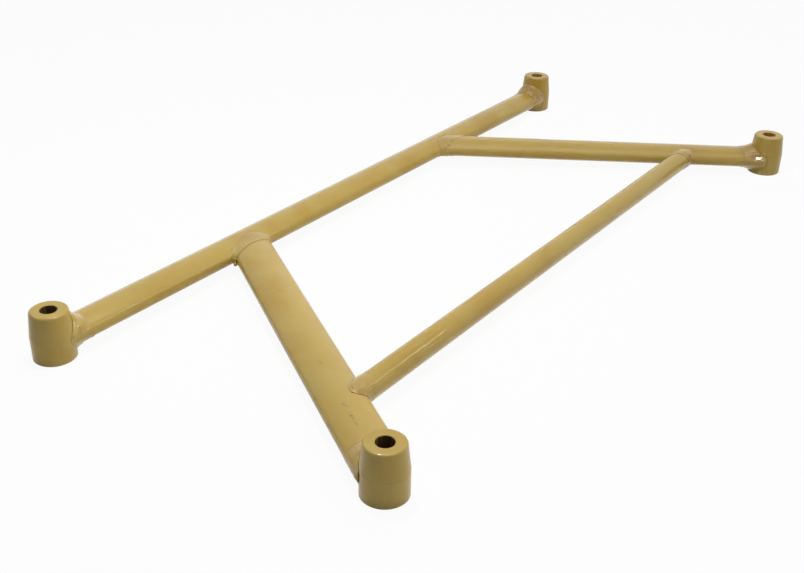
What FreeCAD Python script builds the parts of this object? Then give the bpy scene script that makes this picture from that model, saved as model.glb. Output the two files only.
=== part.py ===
import FreeCAD, Part
import Sketcher
import math
import os

# Lower arm brace
#
# A flat welded frame that ties four suspension pickup points together.
# Two turned bosses carry the ends of a long flattened rail tube.
# Two wider flattened arm tubes leave the rail at a slant and end on two more bosses.
# A round strut joins both arms, parallel to the rail.
#
# Frame: millimetres, +X along the rail, +Y towards the rail side, +Z up.
# The origin is the bottom centre of the whole brace.
# The left and right halves mirror each other across the plane X = 0.

os.makedirs("parts", exist_ok=True)
doc = FreeCAD.newDocument("lower_arm_brace")
Vector = FreeCAD.Vector
Rotation = FreeCAD.Rotation
Placement = FreeCAD.Placement

# Sizes

SIZES = [
    # turned bosses
    ("boss_outer_radius", 19.0),
    ("boss_top_radius", 16.55),
    ("boss_height", 46.0),
    ("boss_straight_height", 23.6),
    ("boss_bore_radius", 7.25),
    ("boss_top_round", 2.15),
    ("boss_foot_chamfer", 0.6),
    ("bore_mouth_chamfer", 0.5),
    # where the bosses stand
    ("rail_half_span", 411.7),
    ("arm_half_span", 386.65),
    ("row_half_depth", 168.7),
    ("tube_centre_height", 16.7),
    # long rail, a flattened round tube
    ("rail_width", 35.4),
    ("rail_thickness", 21.9),
    ("rail_edge_radius", 7.55),
    ("rail_wall", 2.5),
    ("rail_mouth_reach", 5.0),
    # slanted arms, flattened from a larger round tube
    ("arm_width", 42.0),
    ("arm_thickness", 21.6),
    ("arm_edge_radius", 6.5),
    ("arm_wall", 2.5),
    ("arm_mouth_reach", 5.0),
    ("arm_root_offset", 170.4),
    # round cross strut
    ("strut_radius", 11.25),
    ("strut_wall", 2.0),
    ("strut_row_offset", 90.4),
    ("strut_lip", 11.0),
    # weld fillets round the bosses
    ("boss_weld_run", 12.0),
    ("boss_weld_toe", 0.5),
    ("boss_weld_bottom", 5.2),
    ("boss_weld_wrap", 2.5),
    ("boss_weld_spread", 4.0),
    ("rail_weld_side", 1.0),
    ("rail_weld_top", 10.0),
    ("arm_weld_side", 0.5),
    ("arm_weld_top", 6.0),
    # weld beads where the arms leave the rail
    ("root_weld_leg", 5.5),
    ("root_weld_toe", 0.4),
    ("root_weld_rise", 1.2),
    ("root_weld_crest", 6.0),
    ("root_weld_end", 1.5),
    # weld fillets at the strut ends
    ("strut_weld_run", 8.0),
    ("strut_weld_toe", 0.4),
    ("strut_weld_rise", 2.0),
    ("strut_weld_wrap", 4.5),
]

sheet = doc.addObject("Spreadsheet::Sheet", "Sizes")
for row, (alias, number) in enumerate(SIZES, start=1):
    sheet.set(f"A{row}", alias.replace("_", " "))
    sheet.set(f"B{row}", str(number))
    sheet.setAlias(f"B{row}", alias)
doc.recompute()


def value(expression):
    """Return the number that an expression over the sheet comes to."""
    return float(sheet.evalExpression(expression))


# Expressions shared by several sub-parts

ARM_RUN_ACROSS = "(Sizes.arm_half_span - Sizes.arm_root_offset)"
ARM_RUN_DEEP = "(2 * Sizes.row_half_depth)"
ARM_LENGTH = f"sqrt({ARM_RUN_ACROSS} ^ 2 + {ARM_RUN_DEEP} ^ 2)"
ARM_SLANT = f"atan({ARM_RUN_DEEP} / {ARM_RUN_ACROSS})"
STRUT_END = (
    f"(Sizes.arm_root_offset + {ARM_RUN_ACROSS}"
    f" * (Sizes.row_half_depth + Sizes.strut_row_offset) / {ARM_RUN_DEEP})"
)
STRUT_STRETCH = f"({ARM_LENGTH} / {ARM_RUN_DEEP})"
THROUGH = "(8 * Sizes.boss_height)"


# Sketch helpers


def origin_plane(body, role):
    """Return the origin plane of a body by its role."""
    return next(item for item in body.Origin.OriginFeatures if item.Role == role)


def new_body(name):
    """Add an empty body named after the file that it is written to."""
    body = doc.addObject("PartDesign::Body", name)
    body.Label = name
    return body


def place(body, across, deep, up, turn=None):
    """Bind the placement of a body to expressions over the sheet."""
    if turn is not None:
        body.Placement = Placement(Vector(0, 0, 0), Rotation(Vector(0, 0, 1), 30))
        body.setExpression(".Placement.Rotation.Angle", turn)
    body.setExpression(".Placement.Base.x", across)
    body.setExpression(".Placement.Base.y", deep)
    body.setExpression(".Placement.Base.z", up)


def new_sketch(body, name, role):
    """Add a sketch that lies flat on one origin plane of its body."""
    sketch = body.newObject("Sketcher::SketchObject", name)
    sketch.AttachmentSupport = (origin_plane(body, role), [""])
    sketch.MapMode = "FlatFace"
    return sketch


def shift_sketch(sketch, along, aside=None, lift=None, turn=None):
    """Move a sketch along its normal and in its plane, and turn it about the upright axis."""
    if turn is not None:
        sketch.AttachmentOffset = Placement(Vector(0, 0, 0), Rotation(Vector(0, 1, 0), 30))
        sketch.setExpression(".AttachmentOffset.Rotation.Angle", turn)
    sketch.setExpression(".AttachmentOffset.Base.z", along)
    if aside is not None:
        sketch.setExpression(".AttachmentOffset.Base.x", aside)
    if lift is not None:
        sketch.setExpression(".AttachmentOffset.Base.y", lift)


def bind(sketch, constraint, name, expression):
    """Add a dimension to a sketch, name it and bind it to an expression."""
    index = sketch.addConstraint(constraint)
    sketch.renameConstraint(index, name)
    sketch.setExpression(f"Constraints.{name}", expression)


def bind_coordinate(sketch, kind, line, expression, name):
    """Bind one coordinate of a line's start point, measured from the sketch origin."""
    number = value(expression)
    if number > 0:
        constraint = Sketcher.Constraint(kind, -1, 1, line, 1, number)
        bind(sketch, constraint, name, expression)
    else:
        constraint = Sketcher.Constraint(kind, line, 1, -1, 1, -number)
        bind(sketch, constraint, name, f"-({expression})")


def add_profile(sketch, corners):
    """Draw a closed profile of straight lines between corners given as expressions.

    A coordinate "0" puts the corner on the sketch axis.
    A coordinate equal to that of the corner before it makes the line level or upright.
    """
    points = [Vector(value(across), value(up), 0) for across, up in corners]
    count = len(points)
    for index in range(count):
        line = Part.LineSegment(points[index], points[(index + 1) % count])
        sketch.addGeometry(line, False)
    for index in range(count):
        sketch.addConstraint(
            Sketcher.Constraint("Coincident", index, 2, (index + 1) % count, 1)
        )
    directions = (("DistanceX", "Vertical", -2), ("DistanceY", "Horizontal", -1))
    for index, corner in enumerate(corners):
        for part, (kind, level, axis) in enumerate(directions):
            if corner[part] == "0":
                sketch.addConstraint(Sketcher.Constraint("PointOnObject", index, 1, axis))
            elif index > 0 and corner[part] == corners[index - 1][part]:
                sketch.addConstraint(Sketcher.Constraint(level, index - 1))
            else:
                bind_coordinate(sketch, kind, index, corner[part], f"corner{index}_{kind}")


def crown_radius(width, thickness, edge):
    """Return the expression for the radius of the two broad faces of an oval."""
    reach = f"({width} / 2 - {edge})"
    return f"(({reach} ^ 2 + ({thickness} / 2) ^ 2 - {edge} ^ 2) / ({thickness} - 2 * {edge}))"


def oval_arcs(width, thickness, edge):
    """Return the four arcs of an oval: right edge, top face, left edge, bottom face."""
    crown = value(crown_radius(width, thickness, edge))
    reach = value(f"{width} / 2 - {edge}")
    drop = crown - value(f"{thickness} / 2")
    lean = math.atan2(drop, reach)
    normal = Vector(0, 0, 1)
    right = Part.Circle(Vector(reach, 0, 0), normal, value(edge))
    top = Part.Circle(Vector(0, -drop, 0), normal, crown)
    left = Part.Circle(Vector(-reach, 0, 0), normal, value(edge))
    bottom = Part.Circle(Vector(0, drop, 0), normal, crown)
    return [
        Part.ArcOfCircle(right, -lean, lean),
        Part.ArcOfCircle(top, lean, math.pi - lean),
        Part.ArcOfCircle(left, math.pi - lean, math.pi + lean),
        Part.ArcOfCircle(bottom, math.pi + lean, 2 * math.pi - lean),
    ]


def add_oval(sketch, name, width, thickness, edge):
    """Draw a flattened tube outline: two broad crowned faces and two tight round edges."""
    first = len(sketch.Geometry)
    for arc in oval_arcs(width, thickness, edge):
        sketch.addGeometry(arc, False)
    right, top, left, bottom = range(first, first + 4)
    for one, other in ((right, top), (top, left), (left, bottom), (bottom, right)):
        sketch.addConstraint(Sketcher.Constraint("Tangent", one, 2, other, 1))
    for side in (right, left):
        sketch.addConstraint(Sketcher.Constraint("PointOnObject", side, 3, -1))
        constraint = Sketcher.Constraint("Radius", side, value(edge))
        bind(sketch, constraint, f"{name}_edge{side}", edge)
    crown = crown_radius(width, thickness, edge)
    for face in (top, bottom):
        constraint = Sketcher.Constraint("Radius", face, value(crown))
        bind(sketch, constraint, f"{name}_crown{face}", crown)
    reach = f"({width} / 2 - {edge})"
    constraint = Sketcher.Constraint("DistanceX", -1, 1, right, 3, value(reach))
    bind(sketch, constraint, f"{name}_reach_right", reach)
    constraint = Sketcher.Constraint("DistanceX", left, 3, -1, 1, value(reach))
    bind(sketch, constraint, f"{name}_reach_left", reach)


def add_circle(sketch, name, radius):
    """Draw a circle round the sketch origin."""
    circle = Part.Circle(Vector(0, 0, 0), Vector(0, 0, 1), value(radius))
    index = sketch.addGeometry(circle, False)
    sketch.addConstraint(Sketcher.Constraint("Coincident", index, 3, -1, 1))
    bind(sketch, Sketcher.Constraint("Radius", index, value(radius)), name, radius)


# Feature helpers


def add_feature(body, kind, name, sketch, length, side="One side"):
    """Pad or pocket a sketch, its length bound to an expression."""
    feature = body.newObject(kind, name)
    feature.Profile = sketch
    feature.SideType = side
    feature.setExpression("Length", length)
    if kind == "PartDesign::Pocket" and side == "One side":
        feature.Reversed = True
    doc.recompute()
    return feature


def mirror(body, name, features):
    """Repeat features on the other side of the body's YZ plane."""
    mirrored = body.newObject("PartDesign::Mirrored", name)
    mirrored.Originals = features
    mirrored.MirrorPlane = (origin_plane(body, "YZ_Plane"), [""])
    body.Tip = mirrored
    doc.recompute()


def cut_boss_seat(body, centre=None):
    """Cope a tube or weld to the outside of a boss that stands at the given distance."""
    foot = "-Sizes.tube_centre_height"
    shoulder = "(Sizes.boss_straight_height - Sizes.tube_centre_height)"
    top = "(Sizes.boss_height - Sizes.tube_centre_height)"
    middle = "0" if centre is None else centre
    side = "" if centre is None else f"{centre} + "
    corners = [
        (middle, foot),
        (f"{side}Sizes.boss_outer_radius", foot),
        (f"{side}Sizes.boss_outer_radius", shoulder),
        (f"{side}Sizes.boss_top_radius", top),
        (middle, top),
    ]
    sketch = new_sketch(body, f"{body.Name}_boss_outline", "XZ_Plane")
    add_profile(sketch, corners)
    axis = "V_Axis"
    if centre is not None:
        low = Vector(value(centre), value(foot), 0)
        high = Vector(value(centre), value(top), 0)
        index = sketch.addGeometry(Part.LineSegment(low, high), True)
        sketch.addConstraint(Sketcher.Constraint("Coincident", index, 1, 0, 1))
        sketch.addConstraint(Sketcher.Constraint("Coincident", index, 2, len(corners) - 1, 1))
        axis = "Axis0"
    groove = body.newObject("PartDesign::Groove", f"{body.Name}_boss_seat")
    groove.Profile = sketch
    groove.ReferenceAxis = (sketch, [axis])
    groove.Angle = 360
    doc.recompute()
    return groove


def cut_weld_cone(body, name, skin, rise, sign):
    """Turn the flare of a boss weld so that it falls away evenly round the boss.

    The flare starts at the height rise over the tube's skin and runs out with distance
    from the boss. The sign is a minus for the flare under the tube.
    """
    inner = "Sizes.boss_outer_radius"
    outer = f"({inner} + Sizes.boss_weld_run + Sizes.boss_weld_spread)"
    low = f"{sign}({skin} + Sizes.boss_weld_toe)"
    high = f"{sign}({skin} + {rise} + Sizes.boss_weld_toe)"
    far = f"{sign}({skin} + 2 * {rise})"
    corners = [(inner, high), (outer, low), (outer, far), (inner, far)]
    sketch = new_sketch(body, f"{body.Name}_flare_{name}", "XZ_Plane")
    add_profile(sketch, corners)
    groove = body.newObject("PartDesign::Groove", f"{body.Name}_turned_{name}")
    groove.Profile = sketch
    groove.ReferenceAxis = (sketch, ["V_Axis"])
    groove.Angle = 360
    doc.recompute()


def loft_ovals(body, stations):
    """Loft straight between oval sections across the body's X axis.

    Each station holds the distance along X, the shift along Y, the lift, the width,
    the thickness and the edge radius, all as expressions.
    """
    sketches = []
    for number, (along, aside, lift, width, thickness, edge) in enumerate(stations):
        sketch = new_sketch(body, f"{body.Name}_section{number}", "YZ_Plane")
        shift_sketch(sketch, along, aside, lift)
        add_oval(sketch, "skin", width, thickness, edge)
        sketches.append(sketch)
    doc.recompute()
    loft = body.newObject("PartDesign::AdditiveLoft", f"{body.Name}_loft")
    loft.Profile = sketches[0]
    loft.Sections = sketches[1:]
    loft.Ruled = True
    doc.recompute()


# Turned bosses


def build_boss(name, across, deep):
    """Turn one boss: straight foot, tapered head with a rounded rim, bore right through."""
    body = new_body(name)
    sketch = new_sketch(body, f"{name}_half_section", "XZ_Plane")
    corners = [
        ("Sizes.boss_bore_radius", "0"),
        ("Sizes.boss_outer_radius", "0"),
        ("Sizes.boss_outer_radius", "Sizes.boss_straight_height"),
        ("Sizes.boss_top_radius", "Sizes.boss_height"),
        ("Sizes.boss_bore_radius", "Sizes.boss_height"),
    ]
    add_profile(sketch, corners)
    turned = body.newObject("PartDesign::Revolution", f"{name}_turned")
    turned.Profile = sketch
    turned.ReferenceAxis = (sketch, ["V_Axis"])
    turned.Angle = 360
    doc.recompute()
    rounded = body.newObject("PartDesign::Fillet", f"{name}_rim_round")
    rounded.Base = (turned, [find_ring(turned, "Sizes.boss_top_radius", "Sizes.boss_height")])
    rounded.setExpression("Radius", "Sizes.boss_top_round")
    doc.recompute()
    foot = body.newObject("PartDesign::Chamfer", f"{name}_foot_chamfer")
    foot.Base = (rounded, [find_ring(rounded, "Sizes.boss_outer_radius", "0")])
    foot.setExpression("Size", "Sizes.boss_foot_chamfer")
    doc.recompute()
    mouths = body.newObject("PartDesign::Chamfer", f"{name}_bore_mouths")
    rings = [find_ring(foot, "Sizes.boss_bore_radius", up) for up in ("0", "Sizes.boss_height")]
    mouths.Base = (foot, rings)
    mouths.setExpression("Size", "Sizes.bore_mouth_chamfer")
    doc.recompute()
    place(body, across, deep, "0")
    return body


def find_ring(feature, radius, up):
    """Return the name of the level circular edge with this radius and height."""
    for number, edge in enumerate(feature.Shape.Edges, start=1):
        curve = edge.Curve
        if not isinstance(curve, Part.Circle):
            continue
        if abs(curve.Radius - value(radius)) < 0.01 and abs(curve.Center.z - value(up)) < 0.01:
            return f"Edge{number}"
    raise ValueError(f"{feature.Name} has no ring of radius {radius} at {up}")


# Long rail


def build_rail():
    """Make the flattened rail tube and cope both ends to their bosses."""
    body = new_body("long_rail")
    sketch = new_sketch(body, "rail_section", "YZ_Plane")
    wall = "Sizes.rail_wall"
    add_oval(sketch, "skin", "Sizes.rail_width", "Sizes.rail_thickness", "Sizes.rail_edge_radius")
    add_oval(
        sketch,
        "bore",
        f"(Sizes.rail_width - 2 * {wall})",
        f"(Sizes.rail_thickness - 2 * {wall})",
        f"(Sizes.rail_edge_radius - {wall})",
    )
    length = "2 * (Sizes.rail_half_span - Sizes.rail_mouth_reach)"
    add_feature(body, "PartDesign::Pad", "rail_tube", sketch, length, "Symmetric")
    seat = cut_boss_seat(body, "Sizes.rail_half_span")
    mirror(body, "rail_far_seat", [seat])
    place(body, "0", "Sizes.row_half_depth", "Sizes.tube_centre_height")
    return body


# Slanted arms

ARM_TURNS = {"left": ARM_SLANT, "right": f"(180 deg - {ARM_SLANT})"}
SIDE_SIGNS = {"left": "-", "right": ""}


def place_at_arm_boss(body, side):
    """Stand a body on the boss of one arm, its X axis along the arm towards the rail."""
    place(
        body,
        f"{SIDE_SIGNS[side]}Sizes.arm_half_span",
        "-Sizes.row_half_depth",
        "Sizes.tube_centre_height",
        ARM_TURNS[side],
    )


def build_arm(side):
    """Make one flattened arm tube, coped to its boss at one end and to the rail at the other."""
    name = f"arm_{side}"
    body = new_body(name)
    sketch = new_sketch(body, f"{name}_section", "YZ_Plane")
    shift_sketch(sketch, "Sizes.arm_mouth_reach")
    wall = "Sizes.arm_wall"
    add_oval(sketch, "skin", "Sizes.arm_width", "Sizes.arm_thickness", "Sizes.arm_edge_radius")
    add_oval(
        sketch,
        "bore",
        f"(Sizes.arm_width - 2 * {wall})",
        f"(Sizes.arm_thickness - 2 * {wall})",
        f"(Sizes.arm_edge_radius - {wall})",
    )
    length = f"{ARM_LENGTH} - Sizes.arm_mouth_reach"
    add_feature(body, "PartDesign::Pad", f"{name}_tube", sketch, length)
    cut_boss_seat(body)
    rail = new_sketch(body, f"{name}_rail_outline", "YZ_Plane")
    shift_sketch(rail, ARM_LENGTH, turn=f"-{ARM_TURNS[side]}")
    add_oval(rail, "skin", "Sizes.rail_width", "Sizes.rail_thickness", "Sizes.rail_edge_radius")
    add_feature(body, "PartDesign::Pocket", f"{name}_rail_seat", rail, THROUGH, "Symmetric")
    place_at_arm_boss(body, side)
    return body


# Cross strut


def build_strut():
    """Make the round strut and saddle both ends over the inner edges of the arms."""
    body = new_body("cross_strut")
    sketch = new_sketch(body, "strut_section", "YZ_Plane")
    add_circle(sketch, "skin", "Sizes.strut_radius")
    add_circle(sketch, "bore", "(Sizes.strut_radius - Sizes.strut_wall)")
    add_feature(body, "PartDesign::Pad", "strut_tube", sketch, f"2 * {STRUT_END}", "Symmetric")
    saddle = new_sketch(body, "strut_arm_outline", "YZ_Plane")
    shift_sketch(saddle, STRUT_END, turn=ARM_TURNS["right"])
    add_oval(saddle, "skin", "Sizes.arm_width", "Sizes.arm_thickness", "Sizes.arm_edge_radius")
    seat = add_feature(
        body, "PartDesign::Pocket", "strut_saddle", saddle, THROUGH, "Symmetric"
    )
    trim = new_sketch(body, "strut_lip_outline", "YZ_Plane")
    shift_sketch(trim, STRUT_END, turn=ARM_TURNS["right"])
    near = "(Sizes.arm_width / 2 - Sizes.strut_lip)"
    tall = "(2 * Sizes.strut_radius)"
    corners = [
        (f"-{near}", f"-{tall}"),
        (near, f"-{tall}"),
        (near, tall),
        (f"-{near}", tall),
    ]
    add_profile(trim, corners)
    lip = add_feature(body, "PartDesign::Pocket", "strut_lip_trim", trim, THROUGH, "Symmetric")
    mirror(body, "strut_far_end", [seat, lip])
    place(body, "0", "-Sizes.strut_row_offset", "Sizes.tube_centre_height")
    return body


# Weld fillets round the bosses


def build_boss_weld(name, tube, place_body):
    """Make the flared weld that runs from a tube onto its boss.

    The fillet is lofted round the tube, then coped to the boss and to the tube.
    """
    body = new_body(name)
    width = f"Sizes.{tube}_width"
    thickness = f"Sizes.{tube}_thickness"
    edge = f"Sizes.{tube}_edge_radius"
    toe = "Sizes.boss_weld_toe"
    top = f"Sizes.{tube}_weld_top"
    rise = f"({top} + Sizes.boss_weld_bottom)"
    flare = f"({top} - Sizes.boss_weld_bottom) / 2"
    wide = f"({width} + 2 * Sizes.{tube}_weld_side)"
    tall = f"({thickness} + {rise})"
    blunt = f"({edge} + 0.3 * {rise})"
    stations = [
        (
            "Sizes.boss_outer_radius + Sizes.boss_weld_run",
            "0",
            "0",
            f"({width} + 2 * {toe})",
            f"({thickness} + 2 * {toe})",
            f"({edge} + {toe})",
        ),
        ("Sizes.boss_outer_radius", "0", flare, wide, tall, blunt),
        ("Sizes.boss_weld_wrap", "0", flare, wide, tall, blunt),
    ]
    loft_ovals(body, stations)
    cut_boss_seat(body)
    cut_weld_cone(body, "above", f"{thickness} / 2", top, "")
    cut_weld_cone(body, "below", f"{thickness} / 2", "Sizes.boss_weld_bottom", "-")
    outline = new_sketch(body, f"{name}_tube_outline", "YZ_Plane")
    shift_sketch(outline, f"Sizes.{tube}_mouth_reach")
    add_oval(outline, "skin", width, thickness, edge)
    add_feature(body, "PartDesign::Pocket", f"{name}_tube_seat", outline, THROUGH)
    place_body(body)
    return body


def place_at_rail_left(body):
    """Stand a body on the left rail boss, its X axis along the rail."""
    place(body, "-Sizes.rail_half_span", "Sizes.row_half_depth", "Sizes.tube_centre_height")


def place_at_rail_right(body):
    """Stand a body on the right rail boss, its X axis back along the rail."""
    place(
        body,
        "Sizes.rail_half_span",
        "Sizes.row_half_depth",
        "Sizes.tube_centre_height",
        "180 deg",
    )


# Weld shapes that follow the skins of two crossing tubes


def oval_prism(tube, turn, reach, start=0.0):
    """Return a solid bar with the outline of a tube.

    The bar lies level and runs from start to reach along the direction turn, in degrees.
    """
    outline = (f"Sizes.{tube}_width", f"Sizes.{tube}_thickness", f"Sizes.{tube}_edge_radius")
    arcs = [arc.toShape() for arc in oval_arcs(*outline)]
    face = Part.Face(Part.Wire(arcs))
    angle = math.radians(turn)
    along = Vector(math.cos(angle), math.sin(angle), 0)
    up = Vector(0, 0, 1)
    face.Placement = Placement(along * start, Rotation(up.cross(along), up, along, "ZXY"))
    return face.extrude(along * (reach - start))


def crown_height(tube, aside):
    """Return how high the skin of a tube stands over its axis, at a distance to one side."""
    outline = (f"Sizes.{tube}_width", f"Sizes.{tube}_thickness", f"Sizes.{tube}_edge_radius")
    crown = value(crown_radius(*outline))
    return math.sqrt(crown**2 - aside**2) - crown + value(outline[1]) / 2


def biggest_solid(shape):
    """Return the largest solid of a shape."""
    return max(shape.Solids, key=lambda solid: solid.Volume)


def add_weld(name, shape, across, deep):
    """Add a finished weld shape and stand it at its joint."""
    weld = doc.addObject("Part::Feature", name)
    weld.Label = name
    weld.Shape = biggest_solid(shape)
    weld.Placement = Placement(
        Vector(value(across), value(deep), value("Sizes.tube_centre_height")), Rotation()
    )
    return weld


def ellipse_wire(centre, along, half_width, half_height):
    """Return an upright ellipse whose width lies in the direction along."""
    up = Vector(0, 0, 1)
    axis, cross, longest, shortest = along, up, half_width, half_height
    if half_height > half_width:
        axis, cross, longest, shortest = up, along * -1, half_height, half_width
    ellipse = Part.Ellipse(centre + axis * longest, centre + cross * shortest, centre)
    return Part.Wire([ellipse.toShape()])


def root_weld_shape():
    """Return the weld round the root of the left arm, its origin on the rail's axis.

    The weld is lofted through sections that lie parallel to the rail, from the arm's
    skin over the rail's inner edge and onto its crown. Both tubes are cut away.
    """
    turn = value(ARM_SLANT) + 180
    reach = value("Sizes.rail_width + 3 * Sizes.arm_width")
    lean = value(f"{ARM_RUN_ACROSS} / {ARM_RUN_DEEP}")
    stretch = value(STRUT_STRETCH)
    half_rail = value("Sizes.rail_width / 2")
    toe = value("Sizes.root_weld_toe")
    leg = value("Sizes.root_weld_leg")
    rise = value("Sizes.root_weld_rise")
    thin = value("Sizes.arm_thickness")
    crest = value("Sizes.root_weld_crest")
    end = value("Sizes.root_weld_end")
    stations = [
        (half_rail + leg, toe, thin + 2 * toe),
        (half_rail, leg, thin + 2 * rise),
        (crest, leg, thin + 2 * rise),
        (end, toe, 2 * (crown_height("rail", end) + toe)),
    ]
    sections = []
    for distance, grow, thickness in stations:
        width = stretch * value("Sizes.arm_width") + 2 * grow
        edge = value("Sizes.arm_edge_radius") * thickness / thin
        arcs = [arc.toShape() for arc in oval_arcs(f"{width}", f"{thickness}", f"{edge}")]
        section = Part.Wire(arcs)
        section.Placement = Placement(
            Vector(-lean * distance, -distance, 0), Rotation(Vector(1, 0, 0), 90)
        )
        sections.append(section)
    skin = Part.makeLoft(sections, True, True)
    rail = oval_prism("rail", 0, reach, start=-reach)
    arm = oval_prism("arm", turn, reach)
    return skin.cut(rail).cut(arm)


def strut_weld_shape():
    """Return the weld at the left end of the strut, its origin on the arm's axis.

    The weld is lofted through sections that lie parallel to the arm, from the strut's
    skin over its mouth and down onto the arm. The arm and the strut are cut away.
    """
    turn = value(ARM_SLANT)
    radius = value("Sizes.strut_radius")
    half_arm = value("Sizes.arm_width / 2")
    mouth = half_arm - value("Sizes.strut_lip")
    toe = value("Sizes.strut_weld_toe")
    rise = value("Sizes.strut_weld_rise")
    out = half_arm + value("Sizes.strut_weld_run")
    back = mouth - value("Sizes.strut_weld_wrap")
    thin = crown_height("arm", back) + toe
    slant = math.radians(90 - turn)
    along = Vector(math.sin(slant), math.cos(slant), 0)
    stations = [
        (out, toe, radius + toe),
        (half_arm, rise, radius + rise),
        (mouth, rise, radius + toe),
        (back, toe, thin),
    ]
    sections = []
    for distance, grow, half_height in stations:
        centre = Vector(distance / math.cos(slant), 0, 0)
        half_width = radius / math.cos(slant) + grow
        sections.append(ellipse_wire(centre, along, half_width, half_height))
    skin = Part.makeLoft(sections, True, True)
    reach = 6 * half_arm
    arm = oval_prism("arm", turn, reach, start=-reach)
    strut = Part.makeCylinder(radius, reach, Vector(0, 0, 0), Vector(1, 0, 0))
    block = Part.makeBox(2 * mouth, 2 * reach, 4 * radius)
    block.translate(Vector(-mouth, -reach, -2 * radius))
    block.rotate(Vector(0, 0, 0), Vector(0, 0, 1), turn - 90)
    return skin.cut(arm).cut(strut.cut(arm).cut(block))


def mirrored(shape):
    """Return a shape as it lies on the right half of the brace."""
    return shape.mirror(Vector(0, 0, 0), Vector(1, 0, 0))


# Build every sub-part

build_boss("boss_rail_left", "-Sizes.rail_half_span", "Sizes.row_half_depth")
build_boss("boss_rail_right", "Sizes.rail_half_span", "Sizes.row_half_depth")
build_boss("boss_arm_left", "-Sizes.arm_half_span", "-Sizes.row_half_depth")
build_boss("boss_arm_right", "Sizes.arm_half_span", "-Sizes.row_half_depth")
build_rail()
build_arm("left")
build_arm("right")
build_strut()
build_boss_weld("weld_rail_boss_left", "rail", place_at_rail_left)
build_boss_weld("weld_rail_boss_right", "rail", place_at_rail_right)
build_boss_weld("weld_arm_boss_left", "arm", lambda body: place_at_arm_boss(body, "left"))
build_boss_weld("weld_arm_boss_right", "arm", lambda body: place_at_arm_boss(body, "right"))
root_weld = root_weld_shape()
add_weld("weld_root_left", root_weld, "-Sizes.arm_root_offset", "Sizes.row_half_depth")
add_weld("weld_root_right", mirrored(root_weld), "Sizes.arm_root_offset", "Sizes.row_half_depth")
strut_weld = strut_weld_shape()
add_weld("weld_strut_left", strut_weld, f"-{STRUT_END}", "-Sizes.strut_row_offset")
add_weld("weld_strut_right", mirrored(strut_weld), STRUT_END, "-Sizes.strut_row_offset")
doc.recompute()

# Check every object, then write one STEP file for each sub-part

for item in doc.Objects:
    if "Invalid" in item.State or "Error" in item.State:
        raise RuntimeError(f"{item.Name} did not build: {item.State}")

sub_parts = [item for item in doc.Objects if item.TypeId in ("PartDesign::Body", "Part::Feature")]
for item in sub_parts:
    shape = item.Shape
    if shape.isNull() or not shape.isValid() or len(shape.Solids) != 1:
        raise RuntimeError(f"{item.Label} is not one valid solid")
    shape.exportStep(f"parts/{item.Label}.step")
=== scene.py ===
"""Lower arm brace: a gold painted, welded four-point tube frame on a pale studio floor."""

import logging
import math
import random
from collections.abc import Sequence
from dataclasses import dataclass, field
from enum import Enum

import bmesh
import bpy
from mathutils import Matrix, Vector, noise
from mathutils.bvhtree import BVHTree


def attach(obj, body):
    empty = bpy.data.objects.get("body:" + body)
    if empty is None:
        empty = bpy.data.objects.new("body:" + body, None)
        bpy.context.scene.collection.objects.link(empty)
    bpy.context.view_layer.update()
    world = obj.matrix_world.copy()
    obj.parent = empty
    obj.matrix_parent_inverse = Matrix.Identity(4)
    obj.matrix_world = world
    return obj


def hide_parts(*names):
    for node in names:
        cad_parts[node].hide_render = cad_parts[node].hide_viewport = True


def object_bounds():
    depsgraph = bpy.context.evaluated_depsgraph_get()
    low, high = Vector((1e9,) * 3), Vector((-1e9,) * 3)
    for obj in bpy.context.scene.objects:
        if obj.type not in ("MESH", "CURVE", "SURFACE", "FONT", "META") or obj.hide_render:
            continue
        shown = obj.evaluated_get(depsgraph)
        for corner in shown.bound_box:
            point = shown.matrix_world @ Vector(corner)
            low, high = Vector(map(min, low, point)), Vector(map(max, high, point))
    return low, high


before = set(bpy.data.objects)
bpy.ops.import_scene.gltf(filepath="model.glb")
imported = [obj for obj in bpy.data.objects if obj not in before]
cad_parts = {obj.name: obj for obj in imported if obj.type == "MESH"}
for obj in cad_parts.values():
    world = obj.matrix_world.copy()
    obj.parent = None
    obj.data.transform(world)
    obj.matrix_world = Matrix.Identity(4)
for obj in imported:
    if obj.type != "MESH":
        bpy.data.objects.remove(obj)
cad_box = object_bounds()

log = logging.getLogger("lower_arm_brace")

MM = 0.001
BODY = "root"

Colour = tuple[float, float, float]
Point = tuple[float, float, float]


class Side(Enum):
    """The two halves of the brace, each with the sign of its X coordinates."""

    LEFT = -1
    RIGHT = 1

    @property
    def word(self) -> str:
        """Return the side's name as it is used in node names."""
        return self.name.lower()


# Node trees


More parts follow.
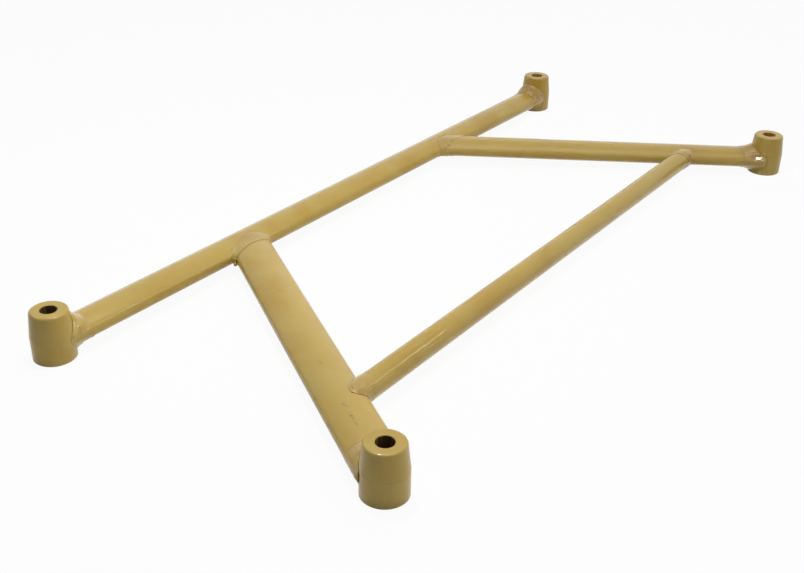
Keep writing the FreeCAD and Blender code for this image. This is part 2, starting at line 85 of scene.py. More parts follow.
class Recipe:
    """A node tree with short calls for the nodes that the finishes share."""

    def __init__(self, tree: bpy.types.NodeTree) -> None:
        """Keep the tree.

        Args:
            tree: Node tree that the calls add to.
        """
        self.tree = tree

    def add(self, kind: str, **settings: object) -> bpy.types.Node:
        """Add a node.

        Args:
            kind: The node's type, without the shader prefix.
            settings: Attributes to set on it.

        Returns:
            The new node.
        """
        node = self.tree.nodes.new(f"ShaderNode{kind}")
        for name, setting in settings.items():
            setattr(node, name, setting)
        return node

    def link(self, source: bpy.types.NodeSocket, target: bpy.types.NodeSocket) -> None:
        """Link two sockets."""
        self.tree.links.new(source, target)

    def feed(self, socket: bpy.types.NodeSocket, source: object) -> None:
        """Link a socket or write a plain value to it.

        Args:
            socket: Input to fill.
            source: An output socket, a number or a tuple.
        """
        if isinstance(source, bpy.types.NodeSocket):
            self.link(source, socket)
        else:
            socket.default_value = source

    def math(self, operation: str, *sources: object) -> bpy.types.NodeSocket:
        """Add a clamp-free math node.

        Args:
            operation: Name of the operation.
            sources: Output sockets or numbers, in order.

        Returns:
            The result.
        """
        node = self.add("Math", operation=operation)
        for socket, source in zip(node.inputs, sources):
            self.feed(socket, source)
        return node.outputs[0]

    def ramp(self, factor: bpy.types.NodeSocket, stops: Sequence[tuple]) -> bpy.types.NodeSocket:
        """Map a factor through a colour ramp.

        Args:
            factor: Value from 0 to 1.
            stops: Pairs of a position and a grey level or linear colour.

        Returns:
            The ramp's colour.
        """
        node = self.add("ValToRGB")
        band = node.color_ramp
        while len(band.elements) < len(stops):
            band.elements.new(0.5)
        for element, (position, tone) in zip(band.elements, stops):
            element.position = position
            shade = (tone, tone, tone) if isinstance(tone, (int, float)) else tone
            element.color = (*shade, 1.0)
        self.link(factor, node.inputs["Fac"])
        return node.outputs["Color"]

    def blend(self, factor: object, first: object, second: object) -> bpy.types.NodeSocket:
        """Mix two colours.

        Args:
            factor: Share of the second colour.
            first: Colour or output at factor 0.
            second: Colour or output at factor 1.

        Returns:
            The mixed colour.
        """
        node = self.add("Mix", data_type="RGBA")
        self.feed(node.inputs["Factor"], factor)
        for name, source in (("A", first), ("B", second)):
            socket = next(s for s in node.inputs if s.name == name and s.type == "RGBA")
            self.feed(socket, (*source, 1.0) if isinstance(source, tuple) else source)
        return next(s for s in node.outputs if s.type == "RGBA")

    def cloud(
        self, place: bpy.types.NodeSocket, scale: float, detail: float = 2.0, twist: float = 0.0
    ) -> bpy.types.NodeSocket:
        """Add a noise texture.

        Args:
            place: Coordinates to read.
            scale: Cells to the metre.
            detail: Number of octaves.
            twist: Distortion.

        Returns:
            The noise from 0 to 1.
        """
        node = self.add("TexNoise")
        node.inputs["Scale"].default_value = scale
        node.inputs["Detail"].default_value = detail
        node.inputs["Distortion"].default_value = twist
        self.link(place, node.inputs["Vector"])
        return node.outputs["Fac"]


# Finishes


@dataclass(frozen=True)
class Scuff:
    """A grey rub mark on the paint.

    Attributes:
        spot: Middle of the mark, in millimetres.
        length: Its length in millimetres.
        width: Its width in millimetres.
        turn: Direction of its length over the ground, in degrees from +X.
        strength: How dark it gets, from 0 to 1.
    """

    spot: Point
    length: float
    width: float
    turn: float
    strength: float = 0.6


@dataclass(frozen=True)
class GoldPaint:
    """Glossy gold paint under a clear top coat.

    Attributes:
        name: Name of the material.
        tone: Main colour of the paint, linear.
        deep_tone: Colour where the paint lies thicker, linear.
        olive_tone: Colour of the faint greener patches, linear.
        roughness: Roughness of the coloured layer.
        sheen_level: Specular level of the coloured layer.
        coat: Weight of the clear coat.
        coat_roughness: Roughness of the clear coat.
        peel_scale: Cells of the orange peel to the metre.
        peel_height: Height of the orange peel in metres.
        scuffs: Rub marks.
    """

    name: str
    tone: Colour = (0.49, 0.33, 0.058)
    deep_tone: Colour = (0.45, 0.285, 0.036)
    olive_tone: Colour = (0.48, 0.345, 0.07)
    roughness: float = 0.42
    sheen_level: float = 0.12
    coat: float = 0.62
    coat_roughness: float = 0.03
    peel_scale: float = 210.0
    peel_height: float = 0.00003
    scuffs: tuple[Scuff, ...] = ()

    def build(self) -> bpy.types.Material:
        """Build the material.

        Returns:
            The finished node material.
        """
        material = bpy.data.materials.new(self.name)
        material.use_nodes = True
        recipe = Recipe(material.node_tree)
        shader = material.node_tree.nodes["Principled BSDF"]
        shader.inputs["Roughness"].default_value = self.roughness
        shader.inputs["Specular IOR Level"].default_value = self.sheen_level
        shader.inputs["Coat Weight"].default_value = self.coat
        shader.inputs["Coat Roughness"].default_value = self.coat_roughness
        place = recipe.add("TexCoord").outputs["Object"]
        colour = self.mix_colour(recipe, place)
        colour = self.add_marks(recipe, place, colour, shader)
        recipe.link(colour, shader.inputs["Base Color"])
        peel = recipe.cloud(place, self.peel_scale, 1.5)
        bump = recipe.add("Bump")
        bump.inputs["Strength"].default_value = 1.0
        bump.inputs["Distance"].default_value = self.peel_height
        recipe.link(peel, bump.inputs["Height"])
        recipe.link(bump.outputs["Normal"], shader.inputs["Coat Normal"])
        recipe.link(bump.outputs["Normal"], shader.inputs["Normal"])
        return material

    def mix_colour(self, recipe: Recipe, place: bpy.types.NodeSocket) -> bpy.types.NodeSocket:
        """Mix the paint's colour from soft clouds and fine specks.

        Args:
            recipe: Tree to add to.
            place: Object coordinates.

        Returns:
            The paint's colour.
        """
        runs = recipe.cloud(place, 11.0, 3.0, 0.4)
        gold = recipe.ramp(runs, [(0.36, self.deep_tone), (0.58, self.tone)])
        patches = recipe.cloud(place, 26.0, 2.0)
        share = recipe.ramp(patches, [(0.45, 0.0), (0.7, 0.8)])
        gold = recipe.blend(share, gold, self.olive_tone)
        grit = recipe.add("TexVoronoi")
        grit.inputs["Scale"].default_value = 90.0
        recipe.link(place, grit.inputs["Vector"])
        near = recipe.ramp(grit.outputs["Distance"], [(0.03, 1.0), (0.055, 0.0)])
        rare = recipe.math("GREATER_THAN", grit.outputs["Color"], 0.86)
        speck = recipe.math("MULTIPLY", recipe.math("MULTIPLY", near, rare), 0.55)
        return recipe.blend(speck, gold, (0.16, 0.11, 0.03))

    def add_marks(
        self,
        recipe: Recipe,
        place: bpy.types.NodeSocket,
        colour: bpy.types.NodeSocket,
        shader: bpy.types.Node,
    ) -> bpy.types.NodeSocket:
        """Lay the rub marks over the paint.

        Args:
            recipe: Tree to add to.
            place: Object coordinates.
            colour: Paint without marks.
            shader: Shader of the paint; not used here.

        Returns:
            Paint with marks.
        """
        for mark in self.scuffs:
            colour = self.rub(recipe, place, colour, mark)
        return colour

    def rub(
        self,
        recipe: Recipe,
        place: bpy.types.NodeSocket,
        colour: bpy.types.NodeSocket,
        mark: Scuff,
    ) -> bpy.types.NodeSocket:
        """Lay one rub mark over the paint.

        Args:
            recipe: Tree to add to.
            place: Object coordinates.
            colour: Paint under the mark.
            mark: The mark.

        Returns:
            Paint with the mark.
        """
        spot = recipe.add("Mapping", vector_type="TEXTURE")
        spot.inputs["Location"].default_value = [MM * number for number in mark.spot]
        spot.inputs["Rotation"].default_value = (0.0, 0.0, math.radians(mark.turn))
        reach = (mark.length / 2, mark.width / 2, 6.0)
        spot.inputs["Scale"].default_value = [MM * number for number in reach]
        recipe.link(place, spot.inputs["Vector"])
        ball = recipe.add("TexGradient", gradient_type="SPHERICAL")
        recipe.link(spot.outputs["Vector"], ball.inputs["Vector"])
        inside = recipe.ramp(ball.outputs["Fac"], [(0.0, 0.0), (0.5, 1.0)])
        fray = recipe.ramp(recipe.cloud(place, 620.0, 4.0, 0.8), [(0.42, 0.0), (0.6, 1.0)])
        share = recipe.math("MULTIPLY", recipe.math("MULTIPLY", inside, fray), mark.strength)
        return recipe.blend(share, colour, (0.105, 0.085, 0.055))


@dataclass(frozen=True)
class BossPaint(GoldPaint):
    """Gold paint of a turned boss, with a bare dull bore and a painted shade line where the cylinder
    turns into the cone.

    Attributes:
        centre: Boss axis over the ground, in millimetres.
        bore_edge: Radius at which the bore's dull surface ends, in millimetres.
        bore_tone: Colour in the bore, linear.
        rub_tone: Colour of the streaks in the bore, linear.
        crease_shade_height: Height of the painted shade line where the cylinder turns into the cone,
            in millimetres.
        crease_shade_strength: How dark the painted shade line gets.
    """

    centre: tuple[float, float] = (0.0, 0.0)
    bore_edge: float = 7.5
    bore_tone: Colour = (0.13, 0.075, 0.026)
    rub_tone: Colour = (0.22, 0.15, 0.06)
    crease_shade_height: float = 23.6
    crease_shade_strength: float = 0.0

    def add_marks(
        self,
        recipe: Recipe,
        place: bpy.types.NodeSocket,
        colour: bpy.types.NodeSocket,
        shader: bpy.types.Node,
    ) -> bpy.types.NodeSocket:
        """Darken the bore and draw the painted shade line where the cylinder turns into the cone.

        Args:
            recipe: Tree to add to.
            place: Object coordinates.
            colour: Paint without marks.
            shader: Shader of the paint.

        Returns:
            Paint with the bore and the painted shade line.
        """
        split = recipe.add("SeparateXYZ")
        recipe.link(place, split.inputs[0])
        across = recipe.math("SUBTRACT", split.outputs["X"], MM * self.centre[0])
        deep = recipe.math("SUBTRACT", split.outputs["Y"], MM * self.centre[1])
        square = recipe.math(
            "ADD", recipe.math("MULTIPLY", across, across), recipe.math("MULTIPLY", deep, deep)
        )
        radius = recipe.math("SQRT", square)
        inside = recipe.math("LESS_THAN", radius, MM * self.bore_edge)
        streaks = recipe.add("Mapping")
        streaks.inputs["Scale"].default_value = (420.0, 420.0, 16.0)
        recipe.link(place, streaks.inputs["Vector"])
        worn = recipe.cloud(streaks.outputs["Vector"], 1.0, 2.0)
        metal = recipe.ramp(worn, [(0.45, self.bore_tone), (0.72, self.rub_tone)])
        colour = recipe.blend(inside, colour, metal)
        gloss = recipe.math("MULTIPLY", recipe.math("SUBTRACT", 1.0, inside), self.coat)
        recipe.link(gloss, shader.inputs["Coat Weight"])
        # Painted shade: a thin, patchy dark line round the boss where the cylinder turns into the
        # cone.
        if self.crease_shade_strength > 0.0:
            gap = recipe.math("SUBTRACT", split.outputs["Z"], MM * self.crease_shade_height)
            near = recipe.ramp(
                recipe.math("MULTIPLY", recipe.math("ABSOLUTE", gap), 1000.0),
                [(0.0, 1.0), (0.55, 0.0)],
            )
            patchy = recipe.ramp(recipe.cloud(place, 60.0, 2.0), [(0.4, 0.2), (0.6, 1.0)])
            share = recipe.math("MULTIPLY", near, patchy)
            share = recipe.math("MULTIPLY", share, self.crease_shade_strength)
            colour = recipe.blend(share, colour, (0.12, 0.08, 0.02))
        return super().add_marks(recipe, place, colour, shader)


@dataclass(frozen=True)
class FloorPaper:
    """Pale floor that looks white to the camera and keeps a faint shadow.

    Attributes:
        name: Name of the material.
        shine: Share of the floor's colour that no shadow dims.
    """

    name: str = "floor_paper"
    shine: float = 0.94

    def build(self) -> bpy.types.Material:
        """Build the material.

        Returns:
            The finished node material.
        """
        material = bpy.data.materials.new(self.name)
        material.use_nodes = True
        material.node_tree.nodes.remove(material.node_tree.nodes["Principled BSDF"])
        recipe = Recipe(material.node_tree)
        cloth = recipe.add("BsdfDiffuse")
        cloth.inputs["Color"].default_value = (0.8, 0.8, 0.8, 1.0)
        glow = recipe.add("Emission")
        paths = recipe.add("LightPath").outputs
        seen = recipe.math("MAXIMUM", paths["Is Camera Ray"], paths["Is Glossy Ray"])
        seen = recipe.math("MAXIMUM", seen, paths["Is Transmission Ray"])
        share = recipe.math("MULTIPLY", seen, self.shine)
        mix = recipe.add("MixShader")
        recipe.link(share, mix.inputs[0])
        recipe.link(cloth.outputs[0], mix.inputs[1])
        recipe.link(glow.outputs[0], mix.inputs[2])
        recipe.link(mix.outputs[0], material.node_tree.nodes["Material Output"].inputs["Surface"])
        return material


def dress(node: str, material: bpy.types.Material) -> None:
    """Give a CAD node one material all over.

    Args:
        node: Name of the CAD node.
        material: Material that it gets.
    """
    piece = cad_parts[node]
    piece.data.materials.clear()
    piece.data.materials.append(material)
    log.info("dressed %s in %s", node, material.name)


# Tubes and bosses


@dataclass
class Tubes:
    """The rail, the two arms and the strut."""

    finish: GoldPaint = GoldPaint("gold_paint_tubes")
    worn_finish: GoldPaint = GoldPaint(
        "gold_paint_left_arm",
        scuffs=(
            Scuff((-347.9, -101.2, 27.3), 9.0, 3.4, 75.0, 0.7),
            Scuff((-356.5, -114.5, 27.3), 13.0, 3.0, 58.0, 0.6),
            Scuff((-361.5, -122.5, 27.3), 9.0, 2.2, 66.0, 0.45),
            Scuff((-312.7, -46.7, 27.3), 10.0, 2.4, 70.0, 0.4),
            Scuff((-242.1, 61.0, 27.4), 9.0, 2.2, 78.0, 0.4),
        ),
    )

    def build(self) -> None:
        """Dress the four tubes."""
        paint = self.finish.build()
        for node in ("long_rail", "arm_right", "cross_strut"):
            dress(node, paint)
        dress("arm_left", self.worn_finish.build())


@dataclass
class Bosses:
    """The four turned bosses.

    Attributes:
        rail_half_span: Distance of the rail bosses from the middle, in millimetres.
        arm_half_span: Distance of the arm bosses from the middle, in millimetres.
        row_half_depth: Distance of both rows from the middle, in millimetres.
        crease_shade_strength: How dark the painted shade line where the cylinder turns into the cone
            gets on each boss.
        bore_tone: Colour in the bores of each side, linear.
        rub_tone: Colour of the streaks in the bores of each side, linear.
    """

    rail_half_span: float = 411.7
    arm_half_span: float = 386.65
    row_half_depth: float = 168.7
    crease_shade_strength: dict[str, float] = field(
        default_factory=lambda: {"rail_left": 0.1, "arm_left": 0.35}
    )
    bore_tone: dict[Side, Colour] = field(
        default_factory=lambda: {Side.LEFT: (0.13, 0.07, 0.022), Side.RIGHT: (0.42, 0.2, 0.035)}
    )
    rub_tone: dict[Side, Colour] = field(
        default_factory=lambda: {Side.LEFT: (0.24, 0.16, 0.06), Side.RIGHT: (0.6, 0.36, 0.1)}
    )

    def build(self) -> None:
        """Dress the four bosses, each in paint centred on its own bore."""
        rows = (("rail", self.rail_half_span, 1), ("arm", self.arm_half_span, -1))
        for row, span, sign in rows:
            for side in Side:
                name = f"{row}_{side.word}"
                paint = BossPaint(
                    f"gold_paint_boss_{name}",
                    coat=0.55,
                    centre=(side.value * span, sign * self.row_half_depth),
                    bore_tone=self.bore_tone[side],
                    rub_tone=self.rub_tone[side],
                    crease_shade_strength=self.crease_shade_strength.get(name, 0.15),
                )
                dress(f"boss_{name}", paint.build())


# Welds


def steel_tree() -> BVHTree:
    """Return a search tree over the skins of all the tubes and bosses."""
    shape = bmesh.new()
    for name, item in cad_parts.items():
        if not name.startswith("weld"):
            shape.from_mesh(item.data)
    tree = BVHTree.FromBMesh(shape)
    shape.free()
    return tree


STEEL = steel_tree()


@dataclass(frozen=True)
class Lump:
    """A drop of weld metal.

    Attributes:
        spot: Its middle in millimetres.
        radius: Its radius in millimetres.
    """

    spot: Point
    radius: float


@dataclass(frozen=True)
class DropRun:
    """A straight run of drops that stands out of a weld.

    Attributes:
        start: Middle of the first drop, in millimetres.
        end: Middle of the last drop, in millimetres.
        count: Number of drops, two or more.
        radius: Their radius in millimetres.
    """

    start: Point
    end: Point
    count: int
    radius: float

    def lumps(self) -> list[Lump]:
        """Return the drops of the run, evenly spaced."""
        first, last = Vector(self.start), Vector(self.end)
        steps = self.count - 1
        return [Lump(tuple(first.lerp(last, step / steps)), self.radius) for step in range(self.count)]


@dataclass
class WeldBead:
    """An uneven painted weld that stands for one smooth CAD weld.

    Attributes:
        node: Name of the CAD node that it replaces.
        axis_point: A point on the axis of the tube that the weld runs round, in millimetres.
        axis_turn: Direction of that axis over the ground, in degrees.
        half_width: Half the tube's width in millimetres.
        half_height: Half the tube's height in millimetres.
        run: A run of drops that shows on this weld, if any.
        seed: Seed of the scattered drops.
        grain: Size of the remeshed faces in millimetres.
        swell: How far the skin grows before it is remeshed, in millimetres.
        spacing: Least distance between scattered drops, in millimetres.
        ripples: Number of ripples round the tube.
        ripple_height: Height of the ripples in millimetres.
        wave_height: Height of the slow unevenness in millimetres.
        smoothing: Rounds of smoothing after the skin is remeshed.
        feather: How far all of the skin sinks, in millimetres.
        hollow: How far the skin sinks at most towards the middle of the fillet, in
            millimetres; it leaves thin toes that run out flat.
        tries: Number of places tried for scattered drops.
        drop_radius: Least and largest radius of a scattered drop, in millimetres.
        drop_depth: Least and largest depth of a drop's middle, as a share of its radius.
        clearance: Free space that a scattered drop needs over it, in millimetres.
        relief_gap: Gap to the steel, in millimetres, from which on ripples and waves have
            their full height and scattered drops may stand.
        margin: Least distance from the CAD model's box, in millimetres.
    """

    node: str
    axis_point: Point
    axis_turn: float
    half_width: float
    half_height: float
    run: DropRun | None = None
    seed: int = 1
    grain: float = 0.55
    swell: float = 0.2
    spacing: float = 7.5
    ripples: int = 26
    ripple_height: float = 0.04
    wave_height: float = 0.3
    smoothing: int = 12
    feather: float = 0.3
    hollow: float = 1.3
    tries: int = 900
    drop_radius: tuple[float, float] = (2.2, 3.4)
    drop_depth: tuple[float, float] = (0.86, 0.98)
    clearance: float = 3.0
    relief_gap: float = 2.5
    margin: float = 0.15

    def build(self, paint: bpy.types.Material) -> bpy.types.Object:
        """Build the weld.

        Args:
            paint: Material of the weld.

        Returns:
            The finished piece.
        """
        shape = bmesh.new()
        shape.from_mesh(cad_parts[self.node].data)
        bmesh.ops.remove_doubles(shape, verts=shape.verts, dist=0.005 * MM)
        shape.normal_update()
        drops = self.scatter(shape) + (self.run.lumps() if self.run else [])
        for vert in shape.verts:
            vert.co += vert.normal * self.swell * MM
        for drop in drops:
            place = Matrix.Translation(Vector(drop.spot) * MM)
            bmesh.ops.create_icosphere(
                shape, subdivisions=2, radius=drop.radius * MM, matrix=place
            )
        mesh = self.remesh(shape)
        self.uneven(mesh)
        piece = bpy.data.objects.new(f"{self.node}_bead", mesh)
        bpy.context.scene.collection.objects.link(piece)
        mesh.materials.clear()
        mesh.materials.append(paint)
        mesh.shade_smooth()
        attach(piece, BODY)
        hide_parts(self.node)
        log.info("built %s with %d faces", piece.name, len(mesh.polygons))
        return piece

    def scatter(self, shape: bmesh.types.BMesh) -> list[Lump]:
        """Scatter low drops over the part of the weld that shows.

        Args:
            shape: The smooth weld.

        Returns:
            The drops.
        """
        dice = random.Random(self.seed)
        faces = list(shape.faces)
        areas = [face.calc_area() for face in faces]
        spots: list[Vector] = []
        drops: list[Lump] = []
        for face in dice.choices(faces, weights=areas, k=self.tries):
            first, second, third = (vert.co for vert in face.verts[:3])
            one, two = dice.random(), dice.random()
            if one + two > 1.0:
                one, two = 1.0 - one, 1.0 - two
            spot = first + (second - first) * one + (third - first) * two
            if any((spot - other).length < self.spacing * MM for other in spots):
                continue
            start = spot + face.normal * 0.05 * MM
            if STEEL.ray_cast(start, face.normal, self.clearance * MM)[0] is not None:
                continue
            if STEEL.find_nearest(spot)[3] < self.relief_gap * MM:
                continue
            spots.append(spot)
            radius = dice.uniform(*self.drop_radius)
            centre = spot / MM - face.normal * radius * dice.uniform(*self.drop_depth)
            drops.append(Lump(tuple(centre), radius))
        return drops

    def remesh(self, shape: bmesh.types.BMesh) -> bpy.types.Mesh:
        """Melt the weld and its drops into one closed skin.

        Args:
            shape: Weld and drops; it is freed.

        Returns:
            The mesh of the skin.
        """
        rough = bpy.data.meshes.new(f"{self.node}_rough")
        shape.to_mesh(rough)
        shape.free()
        carrier = bpy.data.objects.new(f"{self.node}_rough", rough)
        bpy.context.scene.collection.objects.link(carrier)
        melt = carrier.modifiers.new("melt", "REMESH")
        melt.mode = "VOXEL"
        melt.voxel_size = self.grain * MM
        graph = bpy.context.evaluated_depsgraph_get()
        mesh = bpy.data.meshes.new_from_object(carrier.evaluated_get(graph))
        mesh.name = f"{self.node}_bead"
        bpy.data.objects.remove(carrier)
        bpy.data.meshes.remove(rough)
        return mesh

    def uneven(self, mesh: bpy.types.Mesh) -> None:
        """Smooth the skin, thin its toes, then add ripples and slow waves.

        Args:
            mesh: Skin to change.
        """
        shape = bmesh.new()
        shape.from_mesh(mesh)
        for _ in range(self.smoothing):
            bmesh.ops.smooth_vert(
                shape, verts=shape.verts, factor=0.5, use_axis_x=True, use_axis_y=True,
                use_axis_z=True,
            )
        shape.normal_update()
        low, high = (Vector(corner) for corner in cad_box)
        margin = self.margin * MM
        for vert in shape.verts:
            gap = STEEL.find_nearest(vert.co)[3] / MM
            sink = self.feather + gap * self.hollow / (gap + self.hollow)
            relief = self.lift(vert.co / MM) * min(gap / self.relief_gap, 1.0)
            vert.co += vert.normal * (relief - sink) * MM
            vert.co.y = min(max(vert.co.y, low.y + margin), high.y - margin)
            vert.co.z = max(vert.co.z, low.z + margin)
        shape.to_mesh(mesh)
        shape.free()

    def lift(self, spot: Vector) -> float:
        """Return how far a point of the skin is raised.

        Args:
            spot: The point in millimetres.

        Returns:
            The height in millimetres.
        """
        turn = math.radians(self.axis_turn)
        reach = spot - Vector(self.axis_point)
        aside = reach.y * math.cos(turn) - reach.x * math.sin(turn)
        along = reach.x * math.cos(turn) + reach.y * math.sin(turn)
        angle = math.atan2(reach.z / self.half_height, aside / self.half_width)
        sway = 1.4 * noise.noise(spot * 0.11) + 0.12 * along
        ripple = math.sin(self.ripples * angle + sway)
        wave = noise.noise(spot * 0.14) + 0.35 * noise.noise(spot * 0.33)
        return self.ripple_height * ripple + self.wave_height * wave


@dataclass
class Welds:
    """The eight welds.

    Attributes:
        finish: Paint over the weld metal.
        rail_half: Half the rail's width and height in millimetres.
        arm_half: Half an arm's width and height in millimetres.
        strut_radius: Radius of the strut in millimetres.
        tube_height: Height of all tube axes in millimetres.
        arm_slant: Direction of the left arm over the ground, in degrees from +X.
        joints: Distance from the middle plane and Y of each joint, in millimetres.
        ripple_density: Ripples for each millimetre of half width and half height.
    """

    finish: GoldPaint = GoldPaint(
        "gold_paint_welds",
        tone=(0.46, 0.30, 0.052),
        deep_tone=(0.40, 0.235, 0.03),
        coat=0.9,
        coat_roughness=0.03,
        peel_height=0.00004,
    )
    rail_half: tuple[float, float] = (17.7, 10.95)
    arm_half: tuple[float, float] = (21.0, 10.8)
    strut_radius: float = 11.25
    tube_height: float = 16.7
    arm_slant: float = math.degrees(math.atan2(337.4, 216.25))
    joints: dict[str, tuple[float, float]] = field(
        default_factory=lambda: {
            "rail_boss": (411.7, 168.7),
            "arm_boss": (386.65, -168.7),
            "root": (170.4, 168.7),
            "strut": (336.46, -90.4),
        }
    )
    ripple_density: float = 0.95

    def build(self) -> None:
        """Build the eight beads."""
        paint = self.finish.build()
        for bead in self.beads():
            bead.build(paint)

    def beads(self) -> list[WeldBead]:
        """Return the eight beads with their places and runs of drops."""
        slants = {Side.LEFT: self.arm_slant, Side.RIGHT: 180.0 - self.arm_slant}
        runs = self.runs()
        beads = []
        for side in Side:
            rings = (
                ("rail_boss", 0.0 if side is Side.LEFT else 180.0, self.rail_half),
                ("arm_boss", slants[side], self.arm_half),
                ("root", slants[side], self.arm_half),
                ("strut", 0.0, (self.strut_radius, self.strut_radius)),
            )
            for number, (joint, turn, half) in enumerate(rings):
                span, deep = self.joints[joint]
                node = f"weld_{joint}_{side.word}"
                beads.append(
                    WeldBead(
                        node,
                        (side.value * span, deep, self.tube_height),
                        turn,
                        *half,
                        run=runs.get(node),
                        seed=10 * number + side.value + 5,
                        ripples=round((half[0] + half[1]) * self.ripple_density),
                    )
                )
        return beads

    @staticmethod
    def runs() -> dict[str, DropRun]:
        """Return the runs of drops by node."""
        return {
            "weld_rail_boss_left": DropRun((-403, 150, 22), (-396, 153, 28), 5, 2.2),
            "weld_rail_boss_right": DropRun((399, 151, 25), (389, 163, 33), 4, 2.4),
            "weld_arm_boss_right": DropRun((361, -161, 25), (373, -180, 28), 6, 2.1),
            "weld_root_left": DropRun((-203, 157, 24), (-211, 147, 13), 5, 3.0),
            "weld_root_right": DropRun((165, 148, 24), (160, 147, 15), 3, 2.8),
            "weld_strut_left": DropRun((-319, -97, 27), (-322, -101, 23), 3, 1.9),
            "weld_strut_right": DropRun((317, -100, 25), (320, -103, 19), 2, 2.3),
        }


# Studio


@dataclass(frozen=True)
class Lamp:
    """A rectangular soft lamp.

    Attributes:
        name: Name of the lamp.
        spot: Where it hangs, in metres.
        size: Its width and height in metres.
        power: Its power in watts.
        glint_only: Whether it shows in the gloss alone and lights nothing.
        aim: The point that it faces.
    """

    name: str
    spot: Point
    size: tuple[float, float]
    power: float
    glint_only: bool = False
    aim: Point = (0.0, 0.0, 0.0)

    def hang(self) -> None:
        """Hang the lamp, its long side level."""
        data = bpy.data.lights.new(self.name, "AREA")
        data.shape = "RECTANGLE"
        data.size, data.size_y = self.size
        data.energy = self.power
        lamp = bpy.data.objects.new(self.name, data)
        lamp.location = self.spot
        gaze = Vector(self.aim) - Vector(self.spot)
        lamp.rotation_euler = gaze.to_track_quat("-Z", "Y").to_euler()
        lamp.visible_diffuse = not self.glint_only
        bpy.context.scene.collection.objects.link(lamp)


@dataclass(frozen=True)
class Wall:
    """A quarter of the sky, brightest at its own azimuth.

    Attributes:
        azimuth: Direction over the ground in which it lies, in degrees from +X.
        low: Its brightness just above the floor.
        middle: Its brightness 25 degrees up.
        high: Its brightness 50 degrees up; it is dark from 75 degrees up.
    """

    azimuth: float
    low: float
    middle: float
    high: float

    def build(
        self, recipe: Recipe, split: bpy.types.Node, height: bpy.types.NodeSocket
    ) -> bpy.types.NodeSocket:
        """Add the wall to the sky.

        Args:
            recipe: The sky's tree.
            split: Node that splits the direction of a ray.
            height: Height angle of the ray, 1 straight up.

        Returns:
            The wall's brightness.
        """
        turn = recipe.math("ARCTAN2", split.outputs["Y"], split.outputs["X"])
        away = recipe.math("SUBTRACT", turn, math.radians(self.azimuth))
        aside = recipe.math("ARCCOSINE", recipe.math("COSINE", away))
        share = recipe.math("SUBTRACT", 1.0, recipe.math("DIVIDE", aside, math.radians(90.0)))
        share = recipe.math("MAXIMUM", share, 0.0)
        peak = max(self.low, self.middle, self.high)
        stops = ((0.0, self.low), (25.0, self.middle), (50.0, self.high), (75.0, 0.0))
        tint = recipe.ramp(height, [(angle / 90.0, level / peak) for angle, level in stops])
        return recipe.math("MULTIPLY", recipe.math("MULTIPLY", share, tint), peak)


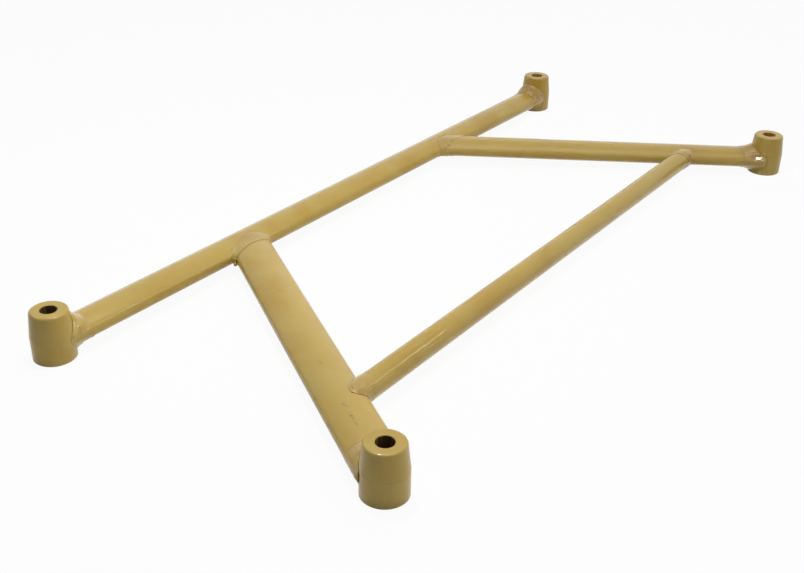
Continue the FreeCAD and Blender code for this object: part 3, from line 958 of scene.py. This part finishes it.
@dataclass
class Studio:
    """Floor, light and camera.

    Attributes:
        eye: Where the camera stands, in metres.
        heading: Direction of the view over the ground, in degrees from +X.
        dip: How far the camera looks down, in degrees.
        roll: Turn of the camera about its view, in degrees.
        lens: Focal length in millimetres on a 36 mm wide frame.
        lamps: The lamps over the brace.
        walls: The lit walls round the brace.
    """

    eye: Point = (-0.8849, -0.5381, 0.5090)
    heading: float = math.degrees(math.atan2(0.5823, 0.8130)) + 0.030
    dip: float = 28.624
    roll: float = -1.03
    lens: float = 48.78
    lamps: tuple[Lamp, ...] = (
        Lamp("overhead", (0.3, 0.1, 2.7), (1.7, 1.7), 12.0),
        Lamp("long_box", (1.15, -1.35, 1.35), (0.9, 0.05), 3.0),
        Lamp("spot_high", (-0.23, 0.09, 0.95), (0.05, 0.05), 4.4),
        Lamp("glint_high", (-0.23, 0.09, 0.96), (0.05, 0.05), 12.0, glint_only=True),
        Lamp("glint_near", (-0.30, -1.13, 1.19), (0.06, 0.06), 5.0, glint_only=True),
    )
    walls: tuple[Wall, ...] = (
        Wall(36.0, 0.42, 1.15, 1.32),
        Wall(306.0, 1.0, 0.72, 0.46),
        Wall(216.0, 0.0, 0.06, 0.3),
    )

    def build(self) -> None:
        """Build the floor, the lamps, the world and the camera."""
        self.lay_floor()
        for lamp in self.lamps:
            lamp.hang()
        self.light_world()
        self.set_camera()

    def lay_floor(self) -> None:
        """Lay a wide round floor under the brace."""
        mesh = bpy.data.meshes.new("studio_floor")
        shape = bmesh.new()
        bmesh.ops.create_circle(shape, cap_ends=True, segments=96, radius=30.0)
        shape.to_mesh(mesh)
        shape.free()
        floor = bpy.data.objects.new("studio_floor", mesh)
        bpy.context.scene.collection.objects.link(floor)
        mesh.materials.append(FloorPaper().build())

    def light_world(self) -> None:
        """Light the room from its walls, which the camera and the gloss see as white."""
        world = bpy.data.worlds.new("studio_air")
        bpy.context.scene.world = world
        world.use_nodes = True
        recipe = Recipe(world.node_tree)
        air = world.node_tree.nodes["Background"]
        air.inputs["Color"].default_value = (1.0, 1.0, 1.0, 1.0)
        gaze = recipe.add("TexCoord").outputs["Generated"]
        split = recipe.add("SeparateXYZ")
        recipe.link(gaze, split.inputs[0])
        height = recipe.math("ARCSINE", split.outputs["Z"])
        height = recipe.math("DIVIDE", height, math.radians(90.0))
        level, *others = (wall.build(recipe, split, height) for wall in self.walls)
        for other in others:
            level = recipe.math("ADD", level, other)
        recipe.link(level, air.inputs["Strength"])
        white = recipe.add("Background")
        white.inputs["Color"].default_value = (1.0, 1.0, 1.0, 1.0)
        paths = recipe.add("LightPath").outputs
        seen = recipe.math("MAXIMUM", paths["Is Camera Ray"], paths["Is Glossy Ray"])
        seen = recipe.math("MAXIMUM", seen, paths["Is Transmission Ray"])
        mix = recipe.add("MixShader")
        recipe.link(seen, mix.inputs[0])
        recipe.link(air.outputs[0], mix.inputs[1])
        recipe.link(white.outputs[0], mix.inputs[2])
        recipe.link(mix.outputs[0], world.node_tree.nodes["World Output"].inputs["Surface"])

    def set_camera(self) -> None:
        """Stand the camera where the brace is seen from above its near left corner."""
        heading = math.radians(self.heading)
        dip = math.radians(self.dip)
        roll = math.radians(self.roll)
        forward = Vector(
            (math.cos(heading) * math.cos(dip), math.sin(heading) * math.cos(dip), -math.sin(dip))
        )
        level = forward.cross(Vector((0.0, 0.0, 1.0))).normalized()
        down = forward.cross(level)
        right = level * math.cos(roll) + down * math.sin(roll)
        foot = down * math.cos(roll) - level * math.sin(roll)
        turn = Matrix((right, -foot, -forward)).transposed()
        data = bpy.data.cameras.new("photo_camera")
        data.lens = self.lens
        data.sensor_width = 36.0
        camera = bpy.data.objects.new("photo_camera", data)
        camera.matrix_world = Matrix.Translation(Vector(self.eye)) @ turn.to_4x4()
        bpy.context.scene.collection.objects.link(camera)
        bpy.context.scene.camera = camera


def main() -> None:
    """Build the brace and its studio."""
    logging.basicConfig(level=logging.INFO)
    Studio().build()
    Tubes().build()
    Bosses().build()
    Welds().build()
    bpy.context.scene.view_settings.view_transform = "Standard"


if __name__ == "__main__":
    main()
